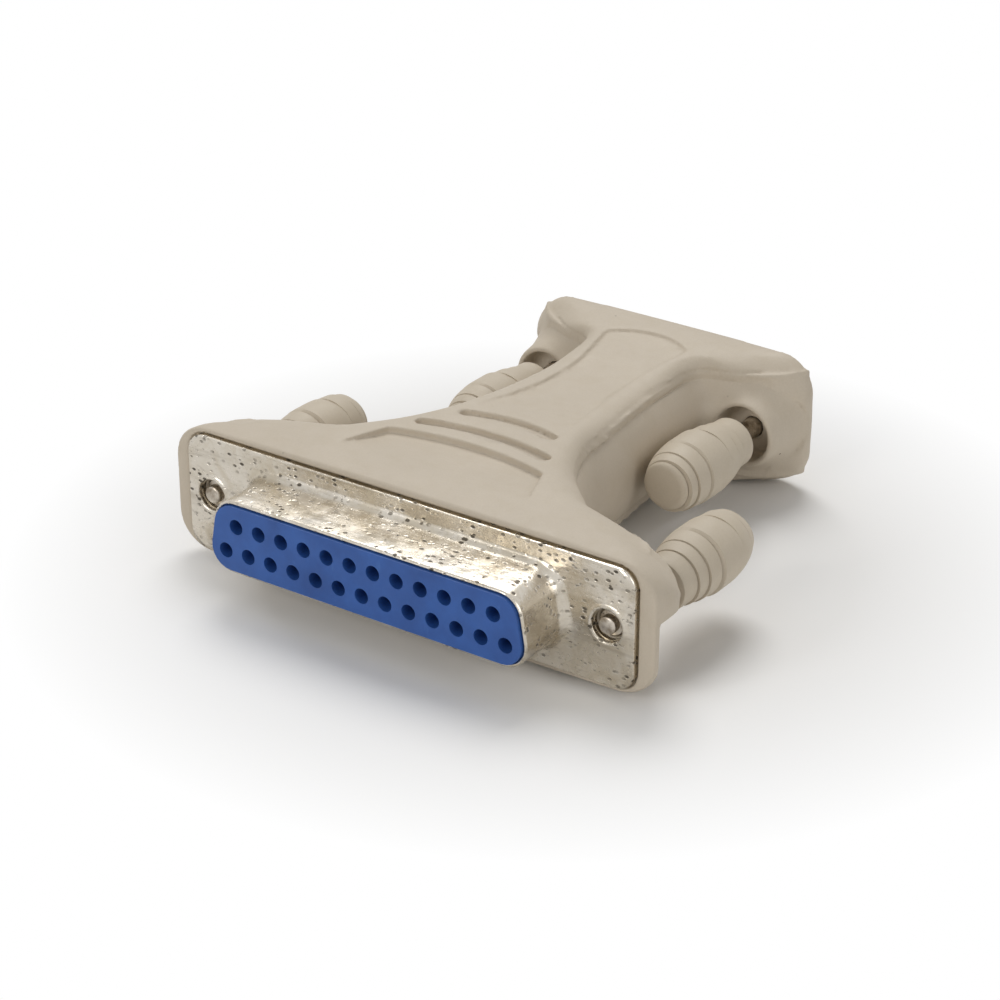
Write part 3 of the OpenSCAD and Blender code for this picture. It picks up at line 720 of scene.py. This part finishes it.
def tarnished_metal(name, tint=(224, 217, 205)):
    """Tin plate: faint streaks, warmer patches and many dark pits."""
    g = Graph(name)
    bright, warm, dull = rgb(*tint), rgb(206, 196, 178), rgb(146, 136, 120)
    patches = g.span(g.noise(260, 5, 0.65, distortion=0.6), 0.42, 0.62)
    color = g.mix(patches, bright, warm)
    streaks = g.noise(60, 5, 0.6, g.scaled((0.6, 4, 9)))
    color = g.mix(g.span(streaks, 0.52, 0.75, 0, 0.6), color, dull)
    wet = g.noise(900, 5, 0.7, g.scaled((0.5, 1, 2.4)))
    color = g.mix(g.span(wet, 0.58, 0.7, 0, 0.4), color, dull)
    cluster = g.span(g.noise(230, 4, 0.6), 0.42, 0.56)
    pits = g.math("MULTIPLY", g.span(g.spots(1500, g.scaled((0.7, 1, 1.1))), 0.32, 0.22), cluster)
    ragged = g.span(g.noise(2600, 4, 0.7, g.scaled((0.6, 1, 1.2))), 0.6, 0.66)
    pits = g.math("MAXIMUM", pits, g.math("MULTIPLY", ragged, g.span(g.noise(340, 3, 0.6), 0.46, 0.58)))
    more = g.math("MULTIPLY", g.span(g.spots(620), 0.16, 0.1), g.span(g.noise(300, 2), 0.46, 0.58))
    pits = g.math("MAXIMUM", pits, more)
    color = g.mix(g.math("MULTIPLY", pits, 0.85), color, rgb(50, 42, 30))
    rough = g.span(g.noise(500, 4, 0.6), 0.3, 0.75, 0.14, 0.36)
    rough = g.math("ADD", rough, g.math("MULTIPLY", pits, 0.35))
    wave = g.noise(170, 3, 0.5)
    fine = g.noise(1500, 4, 0.6, g.scaled((0.3, 1, 1.6)))
    normal = g.bump(wave, 0.5, 0.0003)
    normal = g.bump(fine, 0.35, 0.00008, normal)
    normal = g.bump(g.math("MULTIPLY", pits, -1), 0.6, 0.00008, normal)
    return g.set(color=color, metallic=1.0, rough=rough, normal=normal)


def blue_plastic(name, tint=(52, 96, 170)):
    g = Graph(name)
    base, deep = rgb(*tint), rgb(tint[0] - 8, tint[1] - 14, tint[2] - 20)
    pale = rgb(tint[0] + 20, tint[1] + 22, tint[2] + 16)
    color = g.mix(g.span(g.noise(260, 4, 0.6), 0.35, 0.7), base, deep)
    scuffs = g.span(g.noise(700, 4, 0.65, g.scaled((1, 1, 0.4))), 0.64, 0.74, 0, 0.4)
    color = g.mix(scuffs, color, pale)
    normal = g.bump(g.noise(2600, 3, 0.5), 0.25, 0.00003)
    return g.set(color=color, rough=g.span(g.noise(420, 3), 0.3, 0.7, 0.36, 0.5), normal=normal, specular=0.4)


def screw_steel(name):
    g = Graph(name)
    color = g.mix(g.span(g.noise(800, 4, 0.6), 0.4, 0.65), rgb(214, 206, 194), rgb(150, 138, 122))
    rings = g.noise(3200, 3, 0.6, g.scaled((1, 6, 1)))
    rough = g.span(rings, 0.3, 0.7, 0.22, 0.45)
    return g.set(color=color, metallic=1.0, rough=rough, normal=g.bump(rings, 0.2, 0.00004))


def gilt(name):
    g = Graph(name)
    color = g.mix(g.span(g.noise(900, 4, 0.6), 0.35, 0.7), rgb(150, 122, 66), rgb(88, 70, 40))
    return g.set(color=color, metallic=1.0, rough=g.span(g.noise(1800, 3), 0.3, 0.7, 0.3, 0.5))


def wire_jacket(name):
    g = Graph(name)
    color = g.mix(g.span(g.noise(700, 3), 0.35, 0.7), rgb(70, 70, 74), rgb(50, 50, 54))
    return g.set(color=color, rough=g.span(g.noise(1500, 3), 0.3, 0.7, 0.4, 0.55))


# ---------------------------------------------------------------- pieces

PLACES = ("near_left", "near_right", "far_left", "far_right")

hood_material = moulded_beige("hood_beige")
knob_material = moulded_beige("knob_beige", (200, 188, 169))
shell_material = tarnished_metal("tarnished_tinplate")
blue_material = blue_plastic("blue_insulator")
screw_material = screw_steel("plated_screw_steel")

build_hood(hood_material)
for place in PLACES:
    build_knob(place, knob_material)
    build_screw(place, screw_material)
build_shell("drawn_shell_25", "front_shell_25", SHELL25_W, FLANGE25_W, SCREW_X25, True, shell_material)
build_shell("drawn_shell_9", "front_shell_9", SHELL9_W, FLANGE9_W, SCREW_X9, False, shell_material)

CAD_LOOKS = {
    "front_insulator": blue_material,
    "rear_insulator": blue_material,
    "rear_shell": tarnished_metal("rear_tinplate", (205, 196, 178)),
    "contact": gilt("gilt_contact"),
    "wire": wire_jacket("wire_jacket"),
}
for node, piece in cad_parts.items():
    for start, material in CAD_LOOKS.items():
        if node.startswith(start):
            piece.data.materials.clear()
            piece.data.materials.append(material)


# ---------------------------------------------------------------- stage, light and camera

FADE_CENTRE, FADE_START, FADE_END = (0.004, -0.004, 0), 0.03, 0.056
FLOOR_HALF, FLOOR_DROP = 1.2, 0.00002
WORLD_LIGHT, WORLD_SEEN = 0.36, 1.0
# camera fitted to the 25-way end: place in drawing millimetres, lens and sensor in millimetres
CAMERA_PLACE, CAMERA_LENS, CAMERA_SENSOR = (147.114, -193.754, 126.957), 103.0, 36.0
CAMERA_FORWARD, CAMERA_RIGHT = (-0.51335, 0.73382, -0.44494), (0.81919, 0.57352, 0.00074)


def white_floor():
    """Pale floor that turns to plain white away from the part, for camera rays."""
    g = Graph("studio_floor")
    g.set(color=rgb(244, 243, 241), rough=0.75, specular=0.1)
    glow = g.node("Emission", {"Color": (1, 1, 1, 1), "Strength": 1.0}).outputs[0]
    place = g.node("VectorMath", {0: g.coords, 1: FADE_CENTRE}, operation="DISTANCE").outputs["Value"]
    fade = g.span(place, FADE_START, FADE_END)
    camera_ray = g.node("LightPath").outputs["Is Camera Ray"]
    mixed = g.node("MixShader", {0: g.math("MULTIPLY", fade, camera_ray), 1: g.shader.outputs[0], 2: glow})
    g.link(mixed.outputs[0], g.out.inputs["Surface"])
    mesh = bpy.data.meshes.new("studio_floor")
    corners = [(x * FLOOR_HALF, y * FLOOR_HALF, 0) for x, y in ((-1, -1), (1, -1), (1, 1), (-1, 1))]
    mesh.from_pydata(corners, [], [(0, 1, 2, 3)])
    floor = bpy.data.objects.new("studio_floor", mesh)
    floor.location.z = -FLOOR_DROP
    bpy.context.collection.objects.link(floor)
    mesh.materials.append(g.material)


def studio_world():
    """Dim where it lights the object, brighter for camera and glossy rays, both in the default pale grey."""
    world = bpy.data.worlds.new("studio")
    bpy.context.scene.world = world
    world.use_nodes = True
    tree = world.node_tree
    tree.nodes.clear()
    out = tree.nodes.new("ShaderNodeOutputWorld")
    light, shown = tree.nodes.new("ShaderNodeBackground"), tree.nodes.new("ShaderNodeBackground")
    light.inputs["Strength"].default_value = WORLD_LIGHT
    shown.inputs["Strength"].default_value = WORLD_SEEN
    path = tree.nodes.new("ShaderNodeLightPath")
    seen = tree.nodes.new("ShaderNodeMath")
    seen.operation = "MAXIMUM"
    mix = tree.nodes.new("ShaderNodeMixShader")
    tree.links.new(path.outputs["Is Camera Ray"], seen.inputs[0])
    tree.links.new(path.outputs["Is Glossy Ray"], seen.inputs[1])
    tree.links.new(seen.outputs[0], mix.inputs[0])
    tree.links.new(light.outputs[0], mix.inputs[1])
    tree.links.new(shown.outputs[0], mix.inputs[2])
    tree.links.new(mix.outputs[0], out.inputs["Surface"])


def soft_light(name, position, target, size, power):
    lamp = bpy.data.lights.new(name, "AREA")
    lamp.shape, lamp.size, lamp.energy = "DISK", size, power
    holder = bpy.data.objects.new(name, lamp)
    holder.location = position
    holder.rotation_euler = (Vector(target) - Vector(position)).to_track_quat("-Z", "Y").to_euler()
    bpy.context.collection.objects.link(holder)


def add_camera():
    data = bpy.data.cameras.new("camera")
    data.lens, data.sensor_width = CAMERA_LENS, CAMERA_SENSOR
    data.clip_start, data.clip_end = 0.01, 10
    camera = bpy.data.objects.new("camera", data)
    bpy.context.collection.objects.link(camera)
    forward = Vector(CAMERA_FORWARD).normalized()
    right = Vector(CAMERA_RIGHT).normalized()
    up = right.cross(forward)
    camera.matrix_world = Matrix((right, up, -forward)).transposed().to_4x4()
    camera.location = in_frame([CAMERA_PLACE])[0]
    bpy.context.scene.camera = camera


white_floor()
studio_world()
soft_light("key", (-0.2, 0.3, 0.55), (0, 0, 0), 0.4, 2.15)
soft_light("right", (0.6, -0.1, 0.3), (0, 0, 0), 0.4, 0.7)
soft_light("front", (-0.12, -0.65, 0.35), (0, 0, 0), 0.4, 1.4)
add_camera()
bpy.context.scene.view_settings.view_transform = "Standard"
